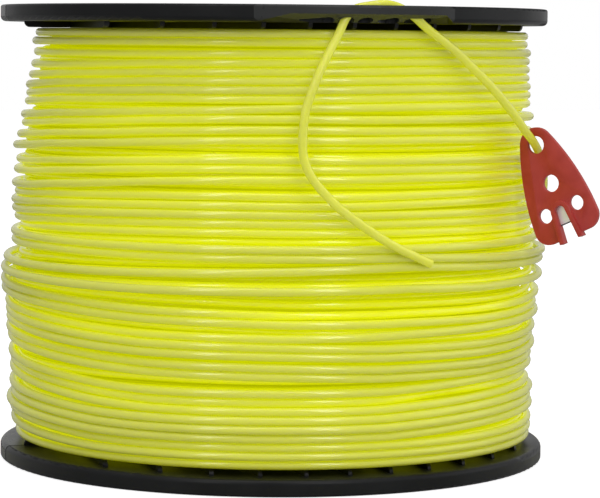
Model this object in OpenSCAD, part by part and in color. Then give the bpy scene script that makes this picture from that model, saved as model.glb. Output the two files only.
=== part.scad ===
// Bulk reel of nylon trimmer line, with a line cutter threaded on the line's outer end.
// The reel's axis is Z and its bottom rim stands on Z = 0. The retention window of the
// top flange faces -Y, and the inner-face ribs run along Y, the way the mould opens.

/* [Spool] */
// Outside diameter of both flanges
flange_d = 178; // [176:1:190]
// Height of the spool over both flanges
spool_h = 146.6; // [140:0.2:160]
// Thickness of a flange at its rim
rim_t = 5.3; // [4.6:0.1:7]
// Depth of the recess in a flange's outer face
recess_depth = 2.4; // [1.6:0.1:2.8]
// Width of the lip that runs round the recess
lip_w = 2; // [1.4:0.1:2]
// Rounding of the rim's edge on the inner face
inner_edge_r = 1.6; // [0.4:0.1:1.8]
// Rounding of the rim's edge on the outer face
outer_edge_r = 0.8; // [0.2:0.1:0.9]

/* [Flange ribs] */
// Width of the plain rim outside the inner-face ribs
plain_rim_w = 6; // [5.9:0.1:9]
// Distance from one inner-face rib to the next
rib_pitch = 13.5; // [10:0.5:15]
// Number of inner-face ribs
rib_count = 11; // [5:2:11]
// Thickness of an inner-face rib
rib_w = 1.2; // [0.8:0.1:2]
// Height of an inner-face rib
rib_h = 1.9; // [1.2:0.1:3]
// Rounding of a rib's outer end
rib_end_r = 1.8; // [0.4:0.1:1.8]
// Number of stiffening ribs in the outer recess
face_ribs = 8; // [4:4:8]
// Thickness of a stiffening rib
face_rib_w = 1.6; // [1:0.1:3]
// Distance that a stiffening rib stays below the rim's face
face_rib_drop = 0.6; // [0.2:0.1:1]

/* [Barrel] */
// Outside diameter of the barrel that the line is wound on
barrel_d = 64; // [56:1:90]
// Wall of the barrel
barrel_wall = 2.5; // [2:0.1:4]
// Bore of the arbor tube
arbor_d = 26; // [16:0.5:30]
// Wall of the arbor tube
arbor_wall = 2.5; // [2:0.1:3.5]
// Number of webs between the arbor tube and the barrel
web_count = 6; // [3:1:8]
// Thickness of such a web
web_t = 2; // [1.2:0.1:3]
// Width of the collar that the barrel meets on each flange
collar_w = 4.5; // [3.5:0.1:8]

/* [Retention window] */
// Width of the slanted face
window_w = 5.6; // [5:0.1:5.8]
// Height that the slanted face has cut off the rim's wall
window_cut = 2.6; // [1.6:0.1:3]
// Half the length of the window at the flange's inner face
window_half = 31.7; // [30:0.1:36]
// Length of the long run-out, at the -X end
long_runout = 12.3; // [6:0.1:14]
// Length of the short run-out, at the +X end
short_runout = 3.9; // [2:0.1:8]
// Distance of the retention holes' centres from the flange's edge
hole_inset = 4.4; // [4.2:0.1:4.8]
// Diameter of a round retention hole
hole_d = 4.6; // [4.2:0.1:4.8]

/* [Line] */
// Diameter of the line
line_d = 2.67; // [2.4:0.01:2.7]
// Distance of the last layer inside the flange's edge, beside the bottom flange
foot_drop = 5; // [3:0.1:8]
// Distance of the last layer inside the flange's edge where it is fullest
crown_drop = 1.8; // [1.2:0.1:3]
// Height at which it is fullest
crown_z = 58; // [45:1:65]
// Distance of the layer below inside the flange's edge, where the last layer ends on it
shoulder_drop = 4.6; // [4.2:0.1:6]
// Distance of that layer inside the flange's edge, beside the top flange
top_drop = 9.5; // [7:0.1:13]
// Loops shown of the last layer, from the bottom flange up
last_loops = 12; // [8:1:12]
// Loops shown of the layer below, from the last layer to the top flange
upper_loops = 12; // [8:1:12]
// Space between the line and what it lies beside
line_clear = 0.15; // [0.1:0.05:0.4]

/* [Line cutter] */
// Largest width of the cutter
cutter_w = 22.8; // [22.6:0.2:28]
// Distance from the line hole's centre to the cutter's base
cutter_len = 30.8; // [29:0.2:34]
// Thickness of the plate
plate_t = 1.6; // [1.2:0.1:2]
// Radius of the plate round the line hole
apex_r = 5.5; // [4.6:0.1:6.4]
// Height of the cutter's widest place above its base
widest_up = 2.3; // [2:0.1:6]
// Rounding of the two corners at the base
corner_r = 4.8; // [3:0.1:5.2]
// Diameter of the hole that the line runs through
line_hole_d = 5.5; // [5.4:0.1:6.4]
// Diameter of the hanging hole
hang_hole_d = 5.4; // [4:0.1:6.5]
// Distance of the hanging hole from the line hole
hang_hole_a = 13; // [11:0.5:14.5]
// Diameter of the two screw holes
screw_hole_d = 4.6; // [3.5:0.1:4.8]
// Distance of the screw holes from the line hole, along the cutter
screw_hole_a = 21.8; // [19:0.2:24]
// Distance between the screw holes' centres
screw_spacing = 11.5; // [11.3:0.1:14]
// Distance of the notch's closed end from the line hole
notch_top = 20.6; // [18:0.2:21]
// Width of the notch at its closed end
notch_w = 3.4; // [2.4:0.1:3.6]
// Width of the notch at its mouth
mouth_w = 5.4; // [4.4:0.1:6]
// Width of the raised lip round the notch
notch_lip_w = 1.5; // [1:0.1:1.6]
// Height of that lip above the plate
notch_lip_h = 1.3; // [0.6:0.1:2]
// Length of the lip past the base
lip_reach = 1.3; // [0.5:0.1:2]

/* [Blade] */
// Thickness of the blade
blade_t = 0.5; // [0.3:0.05:0.6]
// Distance of the cutting edge from the line hole
blade_edge_a = 26.6; // [25:0.2:28]
// Width of the blade
blade_w = 6.4; // [6:0.1:6.6]
// Length of blade held beyond the notch's closed end
blade_hold = 1.2; // [0.8:0.1:1.3]
// Length of the ground bevel
bevel_len = 1.2; // [0.5:0.1:2]
// Play between the blade and its pocket
blade_play = 0.05; // [0.02:0.01:0.1]

/* [Hidden] */
$fn = 96;

black = [0.10, 0.10, 0.11];
yellow = [0.86, 0.88, 0.24];
red = [0.70, 0.19, 0.15];
steel = [0.78, 0.79, 0.80];

// Spool, worked out from the sizes above
flange_r = flange_d / 2;
barrel_r = barrel_d / 2;
core_r = barrel_r - barrel_wall;
collar_r = core_r + collar_w;
arbor_r = arbor_d / 2 + arbor_wall;
seat_z = rim_t + rib_h;
// How far a cut runs past what it cuts, and how deep joined solids bite into each other
past = 1;
bite = 0.5;

// Retention holes: [turn of the round end about the axis in degrees, length of the
// drawn-out end, radius of its tip]. A length of 0 is a plain round hole.
retention_holes = [
    [-6.3, 7.9, 0.5],
    [-2.2, 0, 0],
    [1.8, 0, 0],
    [7.6, 3.8, 0.9],
    [15.2, 5.2, 1.8]
];

// Height at which a drawn-out hole's straight flanks meet its round ends, of their radius
flank = 0.98;

// The line's free end, from the last turn to the cut end: behind the cutter, through its
// hole, up to the fifth retention hole, over the flange, down the second and out. The
// points are written for a flange radius of 89 and a height of 146.6.
route_size = [89, 146.6];
route_points = [
    [85, -9.5, 76.5], [85, -15, 77], [84, -19.5, 78.5], [82.5, -25, 80.5], [81, -32, 83.5],
    [79.5, -38.5, 87], [77, -45.5, 90.5], [74.5, -51, 94], [71.5, -56.5, 97.5],
    [68.5, -61.5, 101.5], [65, -65.5, 105], [61, -68.5, 108.5], [56.5, -71.5, 113],
    [51.5, -73.5, 118], [46, -75.5, 123], [40, -77, 128], [34.5, -78.5, 132.5],
    [28.5, -80.5, 136.5], [23, -82, 140], [18.5, -82.5, 144], [13.5, -83.5, 146.5],
    [9, -84, 147], [4.5, -84, 146.5], [-0.5, -84.5, 145.5], [-3.5, -85, 143],
    [-6, -85.5, 138], [-10, -87, 131.5], [-13, -87.5, 125.5], [-15.5, -87.5, 119],
    [-17, -87.5, 113.5], [-17.5, -87.5, 106], [-17, -87.5, 101], [-15, -88, 96],
    [-11.5, -88.5, 91.5], [-7, -89, 87], [-1, -89, 82.5], [5, -89, 78.5], [11, -88.5, 75],
    [17.5, -87, 72], [24.5, -85.5, 69]
];
tail_route = [for (p = route_points)
    [p[0] * flange_r / route_size[0], p[1] * flange_r / route_size[0],
     p[2] * spool_h / route_size[1]]];
tail_sides = 8;
// Longest step from ring to ring, in line diameters
tail_step = 2.5;

// Cutter: the centre of its line hole lies beside the tail's eleventh point
hang_point = tail_route[10] + [0.7, 0, -0.9];
cutter_yaw = -48.2;
cutter_tilt = 24.5;
cutter_half = cutter_w / 2;
wide_a = cutter_len - widest_up;
// Radius at which the curved sides run smoothly into the round end, and how far above the
// line hole's centre they meet it
side_r = (pow(cutter_half, 2) + pow(wide_a, 2) - pow(apex_r, 2)) / (2 * (cutter_half - apex_r));
side_end = apex_r * wide_a / (side_r - apex_r);
lip_end = cutter_len + lip_reach;
blade_top = notch_top - blade_hold;
blade_y = (plate_t - blade_t) / 2;

// Winding: six-sided tube, 24 rings a loop
turn_sides = 6;
turn_rings = 24;
tail_dir = unit(tail_route[1] - tail_route[0]);
last_end = tail_route[0] - line_d * tail_dir;
turn_z0 = seat_z + line_d / 2 + line_clear;
// Rise from the last layer's end to the first loop of the layer below, in line diameters
layer_rise = 1.4;
upper_z0 = tail_route[0][2] + layer_rise * line_d;
upper_z1 = spool_h - turn_z0;
crown_r = flange_r - crown_drop;
shoulder_r = flange_r - shoulder_drop;
// Space between the outer turns' flats and the packed line below them
core_gap = 0.3;
core_inset = line_d + crown_r * (1 - cos(180 / turn_rings)) + core_gap;

function unit(v) = v / norm(v);

// Outside radius of the last layer and of the layer below it, at height z
function last_layer_r(z) =
    crown_r - (foot_drop - crown_drop) * pow((z - crown_z) / (crown_z - seat_z), 2);
function upper_layer_r(z) =
    shoulder_r - (top_drop - shoulder_drop) * pow((z - upper_z0) / (upper_z1 - upper_z0), 2);

// Centre lines of the two layers. Both are wound the same way round, so the lower one
// climbs clockwise to the tail, and the upper one comes down clockwise before it.
function last_point(i) =
    let (left = last_loops * turn_rings - i,
         a = atan2(last_end[1], last_end[0]) + left * 360 / turn_rings,
         z = last_end[2] - (last_end[2] - turn_z0) * left / (last_loops * turn_rings),
         r = last_layer_r(z) - line_d / 2)
    [r * cos(a), r * sin(a), z];
function upper_point(i) =
    let (a = -i * 360 / turn_rings,
         z = upper_z1 - (upper_z1 - upper_z0) * i / (upper_loops * turn_rings),
         r = upper_layer_r(z) - line_d / 2)
    [r * cos(a), r * sin(a), z];

// Extends a centre line straight on past its two ends by one line diameter
function with_straight_ends(p) =
    let (n = len(p) - 1)
    concat([p[0] + line_d * unit(p[0] - p[1])], p, [p[n] + line_d * unit(p[n] - p[n - 1])]);

last_path = concat(
    [last_point(0) + line_d * unit(last_point(0) - last_point(1))],
    [for (i = [0 : last_loops * turn_rings - 1]) last_point(i)],
    [last_end, tail_route[0]]);
upper_path = with_straight_ends(
    [for (i = [0 : upper_loops * turn_rings]) upper_point(i)]);

// Least distance between a centre line and its own next loop, less the line's diameter
function least_gap(p) =
    min([for (i = [0 : len(p) - turn_rings - 4], j = [turn_rings - 3 : turn_rings + 3])
        norm(p[i + j] - p[i])]) - line_d;
echo(least_gap_last_turns = least_gap(last_path));
echo(least_gap_upper_turns = least_gap(upper_path));

// Direction of a centre line at point i, and the ring of points round it
function along(p, i) =
    unit(p[min(i + 1, len(p) - 1)] - p[max(i - 1, 0)]);
function ring(c, t, side, sides, r) =
    let (n = unit(side - (side * t) * t), b = cross(t, n))
    [for (k = [0 : sides - 1])
        c + r * cos(360 * k / sides) * n + r * sin(360 * k / sides) * b];

// Triangles of a tube whose rings follow one another in the list of points
function tube_faces(rings, sides) = concat(
    [for (k = [1 : sides - 2]) [0, k, k + 1]],
    [for (k = [1 : sides - 2]) [0, k + 1, k] + (rings - 1) * sides * [1, 1, 1]],
    [for (i = [0 : rings - 2], k = [0 : sides - 1])
        [i * sides + k, (i + 1) * sides + (k + 1) % sides, i * sides + (k + 1) % sides]],
    [for (i = [0 : rings - 2], k = [0 : sides - 1])
        [i * sides + k, (i + 1) * sides + k, (i + 1) * sides + (k + 1) % sides]]);

// Smooth curve through the tail's points, and a side vector that never twists
function smooth(p0, p1, p2, p3, u) =
    0.5 * (2 * p1 + (p2 - p0) * u + (2 * p0 - 5 * p1 + 4 * p2 - p3) * u * u
        + (3 * p1 - p0 - 3 * p2 + p3) * u * u * u);
function route_at(p, i) =
    i < 0 ? 2 * p[0] - p[1] : i >= len(p) ? 2 * p[len(p) - 1] - p[len(p) - 2] : p[i];
function smooth_route(p) = concat(
    [for (i = [0 : len(p) - 2])
        let (steps = ceil(norm(p[i + 1] - p[i]) / (tail_step * line_d)))
        for (k = [0 : steps - 1])
            smooth(route_at(p, i - 1), p[i], p[i + 1], route_at(p, i + 2), k / steps)],
    [p[len(p) - 1]]);
function carried_sides(p, last, i = 0) =
    i == len(p) ? []
    : let (t = along(p, i), s = unit(last - (last * t) * t))
      concat([s], carried_sides(p, s, i + 1));
function path_length(p) =
    len(p) < 2 ? 0 : [for (i = [1 : len(p) - 1]) norm(p[i] - p[i - 1])] * [for (i = [1 : len(p) - 1]) 1];

tail_path = smooth_route(tail_route);
echo(tail_length = path_length(tail_path), tail_rings = len(tail_path));

// ---- Spool ----

// Half section of a flange, outer face down: the web, the lip round its recess and the
// collars that stand on both faces round the barrel's end
module flange_section() {
    lip_r = flange_r - lip_w;
    inner_z = rim_t - inner_edge_r;
    translate([core_r, recess_depth])
        square([lip_r + bite - core_r, rim_t - recess_depth]);
    translate([core_r, 0])
        square([collar_w, seat_z]);
    translate([lip_r, 0])
        square([lip_w - outer_edge_r, inner_z]);
    translate([lip_r, outer_edge_r])
        square([lip_w, inner_z - outer_edge_r]);
    translate([lip_r, inner_z - bite])
        square([lip_w - inner_edge_r, inner_edge_r + bite]);
    translate([flange_r - outer_edge_r, outer_edge_r])
        circle(outer_edge_r, $fn = 24);
    translate([flange_r - inner_edge_r, inner_z])
        circle(inner_edge_r, $fn = 24);
}

// Parallel ribs on the inner face and one across them on the mould's parting plane, cut
// round at their ends and clear of the collar
module inner_ribs() {
    zone_r = flange_r - plain_rim_w;
    foot_z = rim_t - bite;
    difference() {
        intersection() {
            union() {
                for (k = [-(rib_count - 1) / 2 : (rib_count - 1) / 2])
                    translate([k * rib_pitch - rib_w / 2, -zone_r, foot_z])
                        cube([rib_w, 2 * zone_r, seat_z - foot_z]);
                translate([-zone_r, -rib_w / 2, foot_z])
                    cube([2 * zone_r, rib_w, seat_z - foot_z]);
            }
            rotate_extrude($fn = 180) {
                translate([0, foot_z])
                    square([zone_r, seat_z - rib_end_r - foot_z]);
                translate([0, foot_z])
                    square([zone_r - rib_end_r, seat_z - foot_z]);
                translate([zone_r - rib_end_r, seat_z - rib_end_r])
                    circle(rib_end_r, $fn = 24);
            }
        }
        translate([0, 0, foot_z - past])
            cylinder(r = collar_r - bite, h = seat_z + 2 * past);
    }
}

// Radial stiffening ribs in the outer recess
module face_ribs() {
    for (k = [0 : face_ribs - 1])
        rotate([0, 0, (k + 0.5) * 360 / face_ribs])
            translate([collar_r - bite, -face_rib_w / 2, face_rib_drop])
                cube([flange_r - lip_w - collar_r + 2 * bite, face_rib_w,
                      recess_depth - face_rib_drop + bite]);
}

module flange() {
    rotate_extrude($fn = 180) flange_section();
    inner_ribs();
    face_ribs();
}

// Slanted face that clears the rim at the window, with a long and a short run-out
module window_cutter() {
    window_r = flange_r - window_w;
    end_r = flange_r + past;
    drop = window_cut / window_w * (end_r - window_r);
    intersection() {
        rotate_extrude($fn = 180)
            polygon([[window_r, rim_t], [end_r, rim_t - drop], [end_r, rim_t + past]]);
        rotate([90, 0, 0])
            linear_extrude(end_r)
                polygon([[-window_half, rim_t], [-window_half + long_runout, rim_t - drop],
                         [window_half - short_runout, rim_t - drop], [window_half, rim_t],
                         [window_half, rim_t + past], [-window_half, rim_t + past]]);
    }
}

// Round hole, or one drawn out on its -X side to a tip with its own radius
module drawn_hole(length, tip_r) {
    big_h = flank * hole_d / 2;
    tip_h = flank * tip_r;
    circle(d = hole_d);
    if (length > 0) {
        translate([-length, 0]) circle(tip_r);
        polygon([[0, big_h], [-length, tip_h], [-length, -tip_h], [0, -big_h]]);
    }
}

module retention_cutters() {
    for (h = retention_holes)
        rotate([0, 0, h[0]])
            translate([0, hole_inset - flange_r, -past])
                linear_extrude(rim_t + 2 * past)
                    drawn_hole(h[1], h[2], $fn = 48);
}

module top_flange() {
    color(black)
        translate([0, 0, spool_h])
            mirror([0, 0, 1])
                difference() {
                    flange();
                    window_cutter();
                    retention_cutters();
                }
}

module bottom_flange() {
    color(black) flange();
}

// Barrel between the flanges' collars, with the arbor tube carried on radial webs
module barrel() {
    color(black) {
        difference() {
            cylinder(r = arbor_r, h = spool_h);
            translate([0, 0, -past])
                cylinder(d = arbor_d, h = spool_h + 2 * past);
        }
        translate([0, 0, seat_z])
            linear_extrude(spool_h - 2 * seat_z) {
                difference() {
                    circle(barrel_r);
                    circle(core_r);
                }
                for (k = [0 : web_count - 1])
                    rotate([0, 0, (k + 0.5) * 360 / web_count])
                        translate([arbor_r - bite, -web_t / 2])
                            square([core_r - arbor_r + 2 * bite, web_t]);
            }
    }
}

// ---- Wound line ----

// Packed layers below the outer turns, between the rib tops of the two flanges
module wound_line() {
    steps = 10;
    low = [for (i = [0 : steps])
        let (z = seat_z + (upper_z0 - line_d - seat_z) * i / steps)
        [last_layer_r(z) - core_inset, z]];
    high = [for (i = [0 : steps])
        let (z = upper_z0 - line_d + (spool_h - seat_z - upper_z0 + line_d) * i / steps)
        [upper_layer_r(max(z, upper_z0)) - core_inset, z]];
    color(yellow)
        rotate_extrude($fn = 180)
            polygon(concat([[barrel_r + 2 * line_clear, seat_z]], low, high,
                           [[barrel_r + 2 * line_clear, spool_h - seat_z]]));
}

// One unbroken tube along a centre line that runs round the Z axis
module turns(path) {
    points = [for (i = [0 : len(path) - 1])
        each ring(path[i], along(path, i), [path[i][0], path[i][1], 0], turn_sides, line_d / 2)];
    color(yellow) polyhedron(points, tube_faces(len(path), turn_sides));
}

module upper_turns() {
    turns(upper_path);
}

module last_turns() {
    turns(last_path);
}

module line_tail() {
    sides = carried_sides(tail_path, [0, 0, 1]);
    points = [for (i = [0 : len(tail_path) - 1])
        each ring(tail_path[i], along(tail_path, i), sides[i], tail_sides, line_d / 2)];
    color(yellow) polyhedron(points, tube_faces(len(tail_path), tail_sides));
}

// ---- Line cutter ----

// Puts a cutter drawn upright, with the line hole at the origin and its face to -Y,
// where it hangs on the line
module hung() {
    translate(hang_point)
        rotate([0, 0, cutter_yaw])
            rotate([0, -cutter_tilt, 0])
                children();
}

// Extrudes an outline drawn in X and Z from the depth y0 to the depth y1
module plate(y0, y1) {
    translate([0, y1, 0])
        rotate([90, 0, 0])
            linear_extrude(y1 - y0)
                children();
}

// Bullet outline: a round end at the line hole, curved sides and a flat base
module cutter_outline() {
    corner_x = cutter_half - corner_r;
    circle(apex_r);
    intersection() {
        translate([side_r - cutter_half, -wide_a]) circle(side_r, $fn = 360);
        translate([cutter_half - side_r, -wide_a]) circle(side_r, $fn = 360);
        union() {
            translate([-cutter_half, corner_r - cutter_len])
                square([cutter_w, cutter_len - corner_r + side_end]);
            translate([-corner_x, -cutter_len])
                square([2 * corner_x, corner_r + bite]);
            for (side = [-1, 1])
                translate([side * corner_x, corner_r - cutter_len])
                    circle(corner_r);
        }
    }
}

// Notch that the line is pushed up, made wider by grow on each side
module notch_outline(grow, end) {
    top_r = notch_w / 2;
    translate([0, -notch_top - top_r]) circle(top_r + grow);
    polygon([[-top_r - grow, -notch_top - top_r], [top_r + grow, -notch_top - top_r],
             [mouth_w / 2 + grow, -end], [-mouth_w / 2 - grow, -end]]);
}

// Blade outline, made larger by grow all round. Its lower edge is the cutting edge.
module blade_outline(grow) {
    translate([-blade_w / 2 - grow, -blade_edge_a - grow])
        square([blade_w + 2 * grow, blade_edge_a - blade_top + 2 * grow]);
}

module cutter_body() {
    color(red)
        hung()
            difference() {
                union() {
                    plate(0, plate_t) cutter_outline();
                    plate(-notch_lip_h, plate_t) notch_outline(notch_lip_w, lip_end);
                }
                plate(-notch_lip_h - past, plate_t + past) notch_outline(0, lip_end + past);
                plate(blade_y - blade_play, blade_y + blade_t + blade_play)
                    blade_outline(blade_play);
                plate(-past, plate_t + past) circle(d = line_hole_d);
                plate(-past, plate_t + past)
                    translate([0, -hang_hole_a]) circle(d = hang_hole_d);
                for (side = [-1, 1])
                    plate(-notch_lip_h - past, plate_t + past)
                        translate([side * screw_spacing / 2, -screw_hole_a])
                            circle(d = screw_hole_d);
            }
}

// Flat steel blade held in the pocket, ground from both faces to the edge in the notch
module cutter_blade() {
    color(steel)
        hung()
            translate([-blade_w / 2, 0, 0])
                rotate([90, 0, 90])
                    linear_extrude(blade_w)
                        polygon([[blade_y, -blade_top], [blade_y + blade_t, -blade_top],
                                 [blade_y + blade_t, bevel_len - blade_edge_a],
                                 [blade_y + blade_t / 2, -blade_edge_a],
                                 [blade_y, bevel_len - blade_edge_a]]);
}

top_flange();
bottom_flange();
barrel();
wound_line();
upper_turns();
last_turns();
line_tail();
cutter_body();
cutter_blade();
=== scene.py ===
"""Bulk spool of nylon trimmer line with a line cutter threaded on its free end."""
import math
import bpy
import numpy as np
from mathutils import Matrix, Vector


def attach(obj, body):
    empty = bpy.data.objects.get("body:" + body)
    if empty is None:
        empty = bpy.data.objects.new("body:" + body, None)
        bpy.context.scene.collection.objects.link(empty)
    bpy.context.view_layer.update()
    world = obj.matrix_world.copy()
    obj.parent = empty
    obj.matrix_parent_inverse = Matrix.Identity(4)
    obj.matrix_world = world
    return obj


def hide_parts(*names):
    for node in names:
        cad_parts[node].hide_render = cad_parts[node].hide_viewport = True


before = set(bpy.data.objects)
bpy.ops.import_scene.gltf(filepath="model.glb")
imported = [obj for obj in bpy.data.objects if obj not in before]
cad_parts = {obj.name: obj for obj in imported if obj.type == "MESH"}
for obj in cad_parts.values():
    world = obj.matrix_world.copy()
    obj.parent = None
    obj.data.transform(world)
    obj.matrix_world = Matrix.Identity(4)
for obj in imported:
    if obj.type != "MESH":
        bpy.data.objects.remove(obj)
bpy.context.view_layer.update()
bpy.ops.object.select_all(action="DESELECT")

# ---- Camera and view ----
# The camera stands 0.87 m in front of the spool and a little above its middle, turned to
# the -X side of the retention window, and looks slightly down through a long lens.
bpy.ops.object.camera_add(location=(-0.25383, -0.83733, 0.13640))
camera = bpy.context.object
camera.rotation_euler = [math.radians(a) for a in (85.4944, -0.5281, -17.4157)]
camera.data.sensor_width = 36
camera.data.lens = 159.886
camera.data.clip_start = 0.05
camera.data.clip_end = 30
bpy.context.scene.camera = camera
bpy.context.scene.view_settings.view_transform = "Standard"

# ---- Spool ----
# Moulded from glossy black plastic: two ribbed flanges on a webbed barrel. The mould
# opens along Y, so its parting line runs over both rims at the X ends. Its rear half is
# etched, and an insert with a finer finish forms the slanted retention window. The
# insert's base colour is lifted as a painted reflection and painted sheen.
SEAM_HALF_WIDTH = 0.00042
SEAM_FROM_X = 0.078
INSERT_ABOVE_Z = 0.1405
INSERT_IN_FRONT_OF_Y = -0.0832


def new_material(name, ior):
    """A material with its node tree and its shader."""
    material = bpy.data.materials.new(name)
    material.use_nodes = True
    shader = material.node_tree.nodes["Principled BSDF"]
    shader.inputs["IOR"].default_value = ior
    return material, material.node_tree, shader


def object_place(tree):
    """Object coordinates, in metres in the spool's own frame."""
    return tree.nodes.new("ShaderNodeTexCoord").outputs["Object"]


def noise(tree, vector, scale, detail, distortion=0.0):
    """Noise from 0 to 1 over the given coordinates."""
    node = tree.nodes.new("ShaderNodeTexNoise")
    node.inputs["Scale"].default_value = scale
    node.inputs["Detail"].default_value = detail
    node.inputs["Distortion"].default_value = distortion
    tree.links.new(vector, node.inputs["Vector"])
    return node.outputs["Fac"]


def math_node(tree, operation, first, second=None, clamp=False):
    """One sum, product or comparison; each operand is a number or a socket."""
    node = tree.nodes.new("ShaderNodeMath")
    node.operation = operation
    node.use_clamp = clamp
    for socket, value in zip(node.inputs, (first, second)):
        if isinstance(value, (int, float)):
            socket.default_value = value
        elif value is not None:
            tree.links.new(value, socket)
    return node.outputs[0]


def colour_ramp(tree, value, stops):
    """Colours by value, from a list of (position, colour), lowest first."""
    node = tree.nodes.new("ShaderNodeValToRGB")
    elements = node.color_ramp.elements
    for element, (at, colour) in zip((elements[0], elements[-1]), (stops[0], stops[-1])):
        element.position = at
        element.color = (*colour, 1)
    for at, colour in stops[1:-1]:
        elements.new(at).color = (*colour, 1)
    tree.links.new(value, node.inputs["Fac"])
    return node.outputs["Color"]


def colour_mix(tree, share, first, second):
    """The first colour, a socket or a value, where share is 0 and the second where it is 1."""
    node = tree.nodes.new("ShaderNodeMix")
    node.data_type = "RGBA"
    tree.links.new(share, node.inputs["Factor"])
    if isinstance(first, tuple):
        node.inputs["A"].default_value = (*first, 1)
    else:
        tree.links.new(first, node.inputs["A"])
    node.inputs["B"].default_value = (*second, 1)
    return node.outputs["Result"]


def rescaled(tree, value, low, high, from_low=0.0, from_high=1.0):
    """A value stretched to run from low to high."""
    node = tree.nodes.new("ShaderNodeMapRange")
    node.inputs["From Min"].default_value = from_low
    node.inputs["From Max"].default_value = from_high
    node.inputs["To Min"].default_value = low
    node.inputs["To Max"].default_value = high
    tree.links.new(value, node.inputs["Value"])
    return node.outputs["Result"]


def surface_relief(tree, shader, height, strength, distance):
    """Fine relief in the surface, distance metres deep at full strength."""
    node = tree.nodes.new("ShaderNodeBump")
    node.inputs["Strength"].default_value = strength
    node.inputs["Distance"].default_value = distance
    tree.links.new(height, node.inputs["Height"])
    tree.links.new(node.outputs["Normal"], shader.inputs["Normal"])


def give_material(piece, material):
    """The piece's only material."""
    piece.data.materials.clear()
    piece.data.materials.append(material)


black, tree, shader = new_material("moulded_black_plastic", 1.5)
shader.inputs["Specular IOR Level"].default_value = 0.16
place = object_place(tree)
axes = tree.nodes.new("ShaderNodeSeparateXYZ")
tree.links.new(place, axes.inputs["Vector"])
along_x, along_y, along_z = axes.outputs
rear_half = math_node(tree, "GREATER_THAN", along_y, 0.0)
at_parting = math_node(tree, "LESS_THAN", math_node(tree, "ABSOLUTE", along_y),
                       SEAM_HALF_WIDTH)
on_rim = math_node(tree, "GREATER_THAN", math_node(tree, "ABSOLUTE", along_x), SEAM_FROM_X)
seam = math_node(tree, "MULTIPLY", at_parting, on_rim)
insert = math_node(tree, "MULTIPLY",
                   math_node(tree, "GREATER_THAN", along_z, INSERT_ABOVE_Z),
                   math_node(tree, "LESS_THAN", along_y, INSERT_IN_FRONT_OF_Y))
cloud = noise(tree, place, 45, 5)
tone = colour_ramp(tree, cloud, [(0.3, (0.0045, 0.0048, 0.0052)),
                                 (0.75, (0.0095, 0.0100, 0.0105))])
# The etched rear half is a little lighter; the insert's lighter base colour is a painted
# reflection and sheen.
etch_and_painted_reflection = math_node(tree, "ADD", insert, math_node(tree, "MULTIPLY", rear_half, 0.35))
tone = colour_mix(tree, etch_and_painted_reflection, tone, (0.032, 0.033, 0.033))
tone = colour_mix(tree, seam, tone, (0.0005, 0.0005, 0.0005))
tree.links.new(tone, shader.inputs["Base Color"])
rough = rescaled(tree, cloud, 0.30, 0.42, 0.3, 0.7)
rough = math_node(tree, "SUBTRACT", rough, math_node(tree, "MULTIPLY", insert, 0.1))
rough = math_node(tree, "SUBTRACT", rough, math_node(tree, "MULTIPLY", rear_half, 0.08))
rough = math_node(tree, "ADD", rough, seam, clamp=True)
tree.links.new(rough, shader.inputs["Roughness"])
finer = math_node(tree, "SUBTRACT", 1.0, math_node(tree, "MULTIPLY", insert, 0.8))
height = math_node(tree, "MULTIPLY", noise(tree, place, 1500, 3), finer)
height = math_node(tree, "SUBTRACT", height, math_node(tree, "MULTIPLY", seam, 5.0))
height = math_node(tree, "ADD", height, math_node(tree, "MULTIPLY", rear_half, 0.8))
surface_relief(tree, shader, height, 0.35, 0.00006)
for name in ("top_flange", "bottom_flange", "barrel"):
    give_material(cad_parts[name], black)

# ---- Line cutter ----
# Flat red moulding, 1.6 mm thick, with softened edges and a raised lip round the notch
# that the line is pushed up. It hangs from the free end of the line by its top hole.
EDGE_ROUNDING = 0.00028


def copy_of_solid(node_name, name, merge_within):
    """A copy of a CAD node with its triangles joined, left in edit mode."""
    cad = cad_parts[node_name]
    bpy.ops.object.select_all(action="DESELECT")
    cad.select_set(True)
    bpy.context.view_layer.objects.active = cad
    bpy.ops.object.duplicate()
    piece = bpy.context.object
    piece.name = name
    bpy.ops.object.mode_set(mode="EDIT")
    bpy.ops.mesh.select_all(action="SELECT")
    bpy.ops.mesh.remove_doubles(threshold=merge_within)
    return piece


cutter = copy_of_solid("cutter_body", "cutter_moulding", 0.00002)
bpy.ops.mesh.dissolve_limited(angle_limit=math.radians(0.05))
bpy.ops.mesh.select_all(action="DESELECT")
bpy.ops.mesh.select_mode(type="EDGE")
bpy.ops.mesh.edges_select_sharp(sharpness=math.radians(50))
bpy.ops.mesh.bevel(offset=EDGE_ROUNDING, segments=3, clamp_overlap=True)
bpy.ops.mesh.select_all(action="SELECT")
bpy.ops.mesh.normals_make_consistent(inside=False)
bpy.ops.object.mode_set(mode="OBJECT")
bpy.ops.object.shade_smooth_by_angle(angle=math.radians(40))

red, tree, shader = new_material("moulded_red_plastic", 1.49)
shader.inputs["Subsurface Weight"].default_value = 0.15
shader.inputs["Subsurface Radius"].default_value = (0.0008, 0.0002, 0.0001)
place = object_place(tree)
swirl = noise(tree, place, 160, 4, 0.6)
tone = colour_ramp(tree, swirl, [(0.3, (0.385, 0.024, 0.017)), (0.72, (0.475, 0.043, 0.034))])
tree.links.new(tone, shader.inputs["Base Color"])
tree.links.new(rescaled(tree, swirl, 0.38, 0.52), shader.inputs["Roughness"])
surface_relief(tree, shader, noise(tree, place, 420, 3), 0.25, 0.0001)
give_material(cutter, red)
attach(cutter, "cutter")
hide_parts("cutter_body")

# ---- Blade ----
# Strip of hardened steel, 0.5 mm thick, moulded in across the notch. Its lower edge is
# ground to a cutting edge, whose darkness is a painted reflection in the base colour, and
# the flats keep fine rolling marks along the strip.
UP_THE_PLATE = Vector((-0.2764, 0.3091, 0.9100))
PAINTED_EDGE_SHADE_HEIGHT = 0.00042

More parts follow.
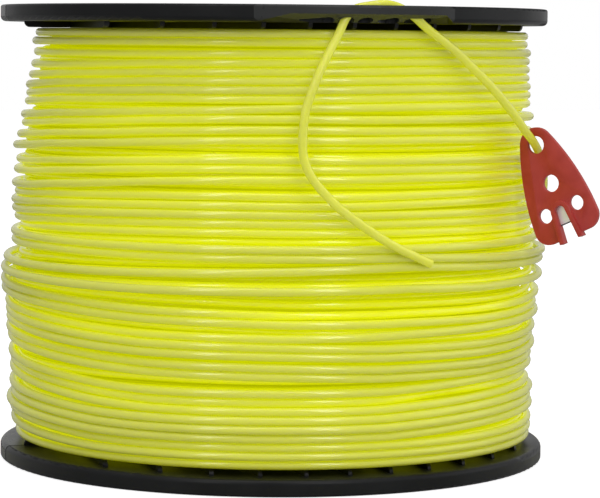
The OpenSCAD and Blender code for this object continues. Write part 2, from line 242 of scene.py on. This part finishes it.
blade = copy_of_solid("cutter_blade", "blade_strip", 0.00001)
bpy.ops.object.mode_set(mode="OBJECT")
bpy.ops.object.shade_smooth_by_angle(angle=math.radians(20))
heights = [vertex.co.dot(UP_THE_PLATE) for vertex in blade.data.vertices]
layer = blade.data.attributes.new("above_edge", "FLOAT", "POINT")
layer.data.foreach_set("value", [height - min(heights) for height in heights])

steel, tree, shader = new_material("polished_steel", 1.5)
shader.inputs["Metallic"].default_value = 0.55
above = tree.nodes.new("ShaderNodeAttribute")
above.attribute_name = "above_edge"
marks = tree.nodes.new("ShaderNodeTexNoise")
marks.noise_dimensions = "1D"
marks.inputs["Scale"].default_value = 9000
marks.inputs["Detail"].default_value = 4
tree.links.new(above.outputs["Fac"], marks.inputs["W"])
# Painted reflection: the band along the ground edge is coloured dark.
painted_edge_shade = math_node(tree, "LESS_THAN", above.outputs["Fac"], PAINTED_EDGE_SHADE_HEIGHT)
tone = colour_mix(tree, painted_edge_shade, (0.93, 0.93, 0.94), (0.10, 0.10, 0.10))
tree.links.new(tone, shader.inputs["Base Color"])
tree.links.new(rescaled(tree, marks.outputs["Fac"], 0.28, 0.40), shader.inputs["Roughness"])
surface_relief(tree, shader, marks.outputs["Fac"], 0.12, 0.00002)
give_material(blade, steel)
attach(blade, "cutter")
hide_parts("cutter_blade")

# ---- Nylon line ----
# Extruded monofilament, 2.67 mm thick, translucent and smooth. It is dyed fluorescent
# yellow, and long soft streaks run along it. Light is painted into its colour: a painted
# glow between the strands and a deeper, brighter yellow there stand in for light that
# reaches the grooves through the strands, and the paler colour of proud strands is
# painted sheen.
LINE_D = 0.00267

nylon, tree, shader = new_material("fluorescent_nylon_painted_glow", 1.53)
shader.inputs["Subsurface Weight"].default_value = 1.0
shader.inputs["Subsurface Radius"].default_value = (0.0022, 0.0022, 0.0006)
shader.inputs["Subsurface Scale"].default_value = 1.0
shader.inputs["Emission Strength"].default_value = 1
place = object_place(tree)
drawn_out = tree.nodes.new("ShaderNodeMapping")
drawn_out.inputs["Scale"].default_value = (9, 9, 130)
tree.links.new(place, drawn_out.inputs["Vector"])
streaks = noise(tree, drawn_out.outputs["Vector"], 1, 3)
open_air = tree.nodes.new("ShaderNodeAttribute")
open_air.attribute_name = "open_air"
streak_share = math_node(tree, "MULTIPLY", math_node(tree, "SUBTRACT", streaks, 0.5), 0.5)
clear = math_node(tree, "ADD", open_air.outputs["Fac"], streak_share)
# Painted shade and sheen: deeper, brighter yellow between the strands, paler where a strand
# stands out.
tone = colour_ramp(tree, clear, [(0.0, (0.87, 0.89, 0.008)), (1.0, (0.72, 0.735, 0.125))])
tree.links.new(tone, shader.inputs["Base Color"])
# Painted glow: emission between the strands, standing in for light that reaches the grooves.
painted_groove_glow = colour_ramp(tree, clear, [(at, (level, level * 1.03, 0)) for at, level in (
    (0.0, 0.09), (0.12, 0.15), (0.30, 0.14), (0.62, 0.04), (1.0, 0.0))])
tree.links.new(painted_groove_glow, shader.inputs["Emission Color"])
tree.links.new(rescaled(tree, streaks, 0.08, 0.16), shader.inputs["Roughness"])
surface_relief(tree, shader, noise(tree, place, 700, 2), 0.02, 0.0001)


def strand(name, stands_for, points, resolution, openness, twist="Z_UP"):
    """A round strand along the points; openness gives how free each surface point lies."""
    curve = bpy.data.curves.new(name, "CURVE")
    curve.dimensions = "3D"
    curve.twist_mode = twist
    curve.bevel_depth = LINE_D / 2
    curve.bevel_resolution = resolution
    curve.use_fill_caps = True
    spline = curve.splines.new("POLY")
    spline.points.add(len(points) - 1)
    flat = np.ones((len(points), 4))
    flat[:, :3] = points
    spline.points.foreach_set("co", flat.ravel())
    piece = bpy.data.objects.new(name, curve)
    bpy.context.scene.collection.objects.link(piece)
    bpy.ops.object.select_all(action="DESELECT")
    piece.select_set(True)
    bpy.context.view_layer.objects.active = piece
    bpy.ops.object.convert(target="MESH")
    piece = bpy.context.object
    give_material(piece, nylon)
    bpy.ops.object.shade_smooth_by_angle(angle=math.radians(50))
    surface = np.empty(3 * len(piece.data.vertices))
    piece.data.vertices.foreach_get("co", surface)
    # The open-air share sets the nylon's painted glow and painted shade.
    layer = piece.data.attributes.new("open_air", "FLOAT", "POINT")
    layer.data.foreach_set("value", openness(surface.reshape(-1, 3)))
    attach(piece, "spool")
    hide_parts(stands_for)
    return piece


# ---- Winding ----
# The last layer covers the lower half, up to where the free end leaves it, and the layer
# below it shows above that. Turns lie in bunches with gaps between them, each one rests
# on the turns that it covers, and here and there one is pushed out.
STEPS = 144             # points in one turn
BED_TURNS, UPPER_TURNS, LAST_TURNS = 47, 41, 21
SPOOL_HEIGHT = 0.1466
FLANGE_FACE = 0.0072    # height of the lower flange's ribs
FLANGE_GAP = 0.00015    # between the ribs and the first turn
LAST_TOP = 0.0764       # where the last turn's middle lies
PUSHED = 0.0014         # the most that a turn is pushed out
LEAVE_STEP = 38         # step of the last turn at which the free end leaves it
LEAVE_OVER = 40         # steps over which it comes away
RIGHT_SIDE = math.radians(-17.3)

# The strands start and end at the rear, and lie loosest at the two X sides
angles = math.pi / 2 - 2 * math.pi * np.arange(STEPS) / STEPS
loose = 0.5 + 0.5 * np.cos(angles) ** 2
foot_z = FLANGE_FACE + LINE_D / 2 + FLANGE_GAP
head_z = SPOOL_HEIGHT - foot_z
chance = np.random.RandomState(11)


def ramp(x, low, high):
    """Smooth step from 0 at low to 1 at high."""
    f = np.clip((x - low) / (high - low), 0, 1)
    return f * f * (3 - 2 * f)


def wave(knots_per_turn, turns):
    """Smooth seeded noise along a strand, from 0 to 1, one row a turn."""
    count = int(round(knots_per_turn * turns))
    knots = chance.rand(count)
    at = np.arange(turns * STEPS) / STEPS * count / turns
    i = np.floor(at).astype(int)
    f = ramp(at - i, 0, 1)
    return (knots[i % count] * (1 - f) + knots[(i + 1) % count] * f).reshape(turns, STEPS)


def spread(turns, low, high, knots_per_turn, touching):
    """Heights of a layer's turns, whose first and last turn lie flat at low and high."""
    gaps = np.clip(wave(knots_per_turn, turns) - touching, 0, 1) + 0.004
    scale = (high - low - turns * LINE_D) / gaps[:, 0].sum()
    first_step = LINE_D + scale * gaps[0, 0]
    last_step = LINE_D + scale * gaps[-1, 0]
    part = np.arange(STEPS) / STEPS
    climb = ramp(part, 0.75, 1.0)
    settle = 1 - ramp(part, 0.0, 0.25)
    room = high - low - settle * last_step - climb * first_step - (turns - 1) * LINE_D
    step = LINE_D + room / gaps[:-1].sum(0) * gaps[:-1]
    return low + climb * first_step + np.vstack([np.zeros(STEPS), np.cumsum(step, 0)])


def stiffen(values, width):
    """Evens out a value along the strand, as the line's own stiffness does."""
    flat = values.ravel()
    kernel = np.hanning(width + 2)[1:-1]
    padded = np.concatenate([np.full(width, flat[:4].mean()), flat,
                             np.full(width, flat[-4:].mean())])
    even = np.convolve(padded, kernel / kernel.sum(), "same")[width:-width]
    return even.reshape(values.shape)


def rest_on(z, layers):
    """Radius at which a strand at height z lies on the strands of the layers below it."""
    best = np.zeros(z.shape)
    for under_z, under_r in layers:
        for row_z, row_r in zip(under_z, under_r):
            reach = LINE_D ** 2 - (z - row_z) ** 2
            touch = np.where(reach > 0, row_r + np.sqrt(np.maximum(reach, 0)), 0)
            best = np.maximum(best, touch)
    return best


# How far the turns stand out from a smooth barrel shape at the -X side and at the +X
# side, in millimetres by height in metres
shape_z = [0.009, 0.015, 0.022, 0.030, 0.038, 0.046, 0.055, 0.061, 0.066, 0.070, 0.076,
           0.079, 0.088, 0.103, 0.111, 0.119, 0.127, 0.138]
at_minus_x = [-0.8, -0.4, -0.8, -1.3, -0.7, -0.2, -0.2, 0.0, -1.4, -2.2, -2.4,
              0.0, 0.0, 0.0, -1.0, -1.8, -2.0, -2.6]
at_plus_x = [-0.6, 0.0, -0.9, -2.8, -2.2, -1.6, -0.9, -0.7, -0.5, -0.3, 0.0,
             0.4, 0.5, 1.0, 1.6, 1.7, 2.0, 2.8]


def covered(z):
    """0 where the last layer covers the winding, rising to 1 above its last turn."""
    return ramp(z, 0.074, 0.080)


def face_r(z, angle):
    """Outside radius of the winding at a height and an angle round it."""
    last_layer = 0.0872 - 0.0032 * ((z - 0.058) / 0.0508) ** 2
    upper_layer = 0.0844 - 0.0049 * ((z - 0.080) / 0.058) ** 2
    plus_x = (1 + np.cos(angle - RIGHT_SIDE)) / 2
    out = (np.interp(z, shape_z, at_plus_x) * plus_x
           + np.interp(z, shape_z, at_minus_x) * (1 - plus_x)) / 1000
    return last_layer * (1 - covered(z)) + upper_layer * covered(z) + out


def depth_openness(points):
    """1 where a strand stands out of the winding's face, falling to 0 between strands."""
    angle = np.arctan2(points[:, 1], points[:, 0])
    proud = np.hypot(points[:, 0], points[:, 1]) - face_r(points[:, 2], angle)
    return ramp(proud, -0.0024, 0.0019)


def around(z, r):
    """Points of a strand from its heights and radii, turn after turn."""
    turn_angles = np.tile(angles, len(z))
    return np.stack([r.ravel() * np.cos(turn_angles), r.ravel() * np.sin(turn_angles),
                     z.ravel()], 1)


def pushed_out(turns):
    """How far each turn stands proud of its neighbours, round by round."""
    return PUSHED * np.clip(wave(2.6, turns) - 0.35, 0, 1) / 0.65


def layer_on(turns, top, touching, layers):
    """Heights and radii of a layer that rests on the layers below it."""
    z = spread(turns, foot_z, top, 2.2, touching)
    r = stiffen(rest_on(z, layers), 9)
    return z, r + loose * stiffen(pushed_out(turns), 9)


# Packed turns, two layers below the face, and the turns that close the gaps behind them
bed_z = spread(BED_TURNS, foot_z, head_z, 3.0, 0.15)
bed_depth = LINE_D / 2 + LINE_D * (1.78 - 0.86 * covered(bed_z))
bed_radius = (stiffen(face_r(bed_z, angles) - bed_depth, 15)
              + 0.0005 * (wave(4.0, BED_TURNS) - 0.5))
under_z = (bed_z[1:] + bed_z[:-1]) / 2
under_radius = (bed_radius[1:] + bed_radius[:-1]) / 2 - 0.87 * LINE_D
strand("bed_turns", "wound_line", around(bed_z, bed_radius)[::2], 2, depth_openness)
strand("under_turns", "wound_line", around(under_z, under_radius)[::2], 1, depth_openness)

upper_z, upper_radius = layer_on(UPPER_TURNS, head_z, 0.55, [(bed_z, bed_radius)])
strand("upper_layer_turns", "upper_turns", around(upper_z, upper_radius), 3, depth_openness)

last_z, last_radius = layer_on(LAST_TURNS, LAST_TOP, 0.50,
                               [(bed_z, bed_radius), (upper_z, upper_radius)])
last_points = around(last_z, last_radius)[:LEAVE_STEP - STEPS]
leave = np.roll(angles, LEAVE_OVER - LEAVE_STEP)[:LEAVE_OVER]
target = np.stack([0.08553 * np.cos(leave), 0.08553 * np.sin(leave),
                   np.full(LEAVE_OVER, 0.0763)], 1)
blend = ramp(np.arange(LEAVE_OVER), 0, LEAVE_OVER - 1)[:, None]
last_points[-LEAVE_OVER:] = last_points[-LEAVE_OVER:] * (1 - blend) + target * blend
last_points = np.vstack([last_points, (0.085, -0.0095, 0.0765)])
strand("last_layer_turns", "last_turns", last_points, 4, depth_openness)

# ---- Free end of the line ----
# The outer end leaves the last turn behind the cutter, runs through the cutter's line
# hole, up through the flange's fifth hole, down through its second and hangs in a bow.
# Open-air share of the free end, which sets its painted glow and painted shade.
FREE_END_OPENNESS = 0.75

route_mm = [
    (85, -9.5, 76.5), (85, -15, 77), (84, -19.5, 78.5), (82.5, -25, 80.5), (81, -32, 83.5),
    (79.5, -38.5, 87), (77, -45.5, 90.5), (74.5, -51, 94), (71.5, -56.5, 97.5),
    (68.5, -61.5, 101.5), (65, -65.5, 105), (61, -68.5, 108.5), (56.5, -71.5, 113),
    (51.5, -73.5, 118), (46, -75.5, 123), (40, -77, 128), (34.5, -78.5, 132.5),
    (28.5, -80.5, 136.5), (23, -82, 140), (18.5, -82.5, 143.6), (13.5, -83.5, 146.1),
    (9, -84, 147), (4.5, -84, 146.5), (-0.5, -84.5, 145.5), (-3.5, -85, 143),
    (-6, -85.5, 138), (-10, -87, 131.5), (-13, -87.5, 125.5), (-15.5, -87.5, 119),
    (-17, -87.5, 113.5), (-17.5, -87.5, 106), (-17, -87.5, 101), (-15, -88, 96),
    (-11.5, -88.5, 91.5), (-7, -89, 87), (-1, -89, 82.5), (5, -89, 78.5), (11, -88.5, 75),
    (17.5, -87, 72), (24.5, -85.5, 69)]
knots = np.array(route_mm) / 1000
ends = np.vstack([2 * knots[0] - knots[1], knots, 2 * knots[-1] - knots[-2]])
u = (np.arange(12) / 12)[:, None]
tail_line = np.vstack([
    0.5 * (2 * b + (c - a) * u + (2 * a - 5 * b + 4 * c - d) * u ** 2
           + (3 * b - a - 3 * c + d) * u ** 3)
    for a, b, c, d in zip(ends[:-3], ends[1:-2], ends[2:-1], ends[3:])] + [knots[-1:]])
even = np.hanning(13)[1:-1]
even = even / even.sum()
long_line = np.vstack([tail_line[:1]] * 5 + [tail_line] + [tail_line[-1:]] * 5)
tail_line = np.stack([np.convolve(long_line[:, k], even, "valid") for k in range(3)], 1)
line_tail = strand("free_end", "line_tail", tail_line, 6,
                   lambda points: np.full(len(points), FREE_END_OPENNESS), "MINIMUM")

# ---- Studio ----
# White floor in an even white room, with two tall soft boxes in front of the spool on
# either side of the camera, a wide one on the right and a large one overhead.
ROOM_LEVEL = 0.34
FLOOR_WHITE = 0.62
FLOOR_LIFT = 0.79
CAMERA_AZIMUTH = -17.28

world = bpy.data.worlds.new("white_room")
bpy.context.scene.world = world
world.use_nodes = True
tree = world.node_tree
background = tree.nodes["Background"]
background.inputs["Color"].default_value = (1, 1, 1, 1)
ray = tree.nodes.new("ShaderNodeLightPath")
direct = math_node(tree, "MAXIMUM", ray.outputs["Is Camera Ray"], math_node(
    tree, "MAXIMUM", math_node(tree, "MULTIPLY", ray.outputs["Is Glossy Ray"], 0.35),
    ray.outputs["Is Transmission Ray"]))
level = math_node(tree, "ADD", ROOM_LEVEL,
                  math_node(tree, "MULTIPLY", direct, 1 - ROOM_LEVEL))
tree.links.new(level, background.inputs["Strength"])

bpy.ops.mesh.primitive_plane_add(size=8, location=(0, 0, -0.0002))
floor = bpy.context.object
floor.name = "floor"
paint, tree, shader = new_material("white_floor", 1.5)
shader.inputs["Base Color"].default_value = (FLOOR_WHITE, FLOOR_WHITE, FLOOR_WHITE, 1)
shader.inputs["Roughness"].default_value = 0.7
shader.inputs["Specular IOR Level"].default_value = 0.2
shader.inputs["Emission Color"].default_value = (1, 1, 1, 1)
ray = tree.nodes.new("ShaderNodeLightPath")
tree.links.new(math_node(tree, "MULTIPLY", ray.outputs["Is Camera Ray"], FLOOR_LIFT),
               shader.inputs["Emission Strength"])
give_material(floor, paint)


def soft_box(name, azimuth, height, distance, width, tall, power):
    """A soft box aimed at the spool, its azimuth measured from the camera's."""
    turn = math.radians(azimuth + CAMERA_AZIMUTH)
    bpy.ops.object.light_add(type="AREA", location=(
        distance * math.sin(turn), -distance * math.cos(turn), height))
    lamp = bpy.context.object
    lamp.name = name
    lamp.data.shape = "RECTANGLE"
    lamp.data.size = width
    lamp.data.size_y = tall
    lamp.data.energy = power
    aim = Vector((0, 0, 0.07)) - lamp.location
    lamp.rotation_euler = aim.to_track_quat("-Z", "Y").to_euler()


soft_box("left_box", -27, 0.76, 1.2, 0.24, 1.1, 2.9)
soft_box("right_box", 26, 0.76, 1.2, 0.28, 1.1, 4.1)
soft_box("side_box", 88, 0.5, 1.3, 1.1, 1.1, 2.8)
soft_box("top_box", 0, 1.5, 0.4, 1.2, 1.0, 7.4)
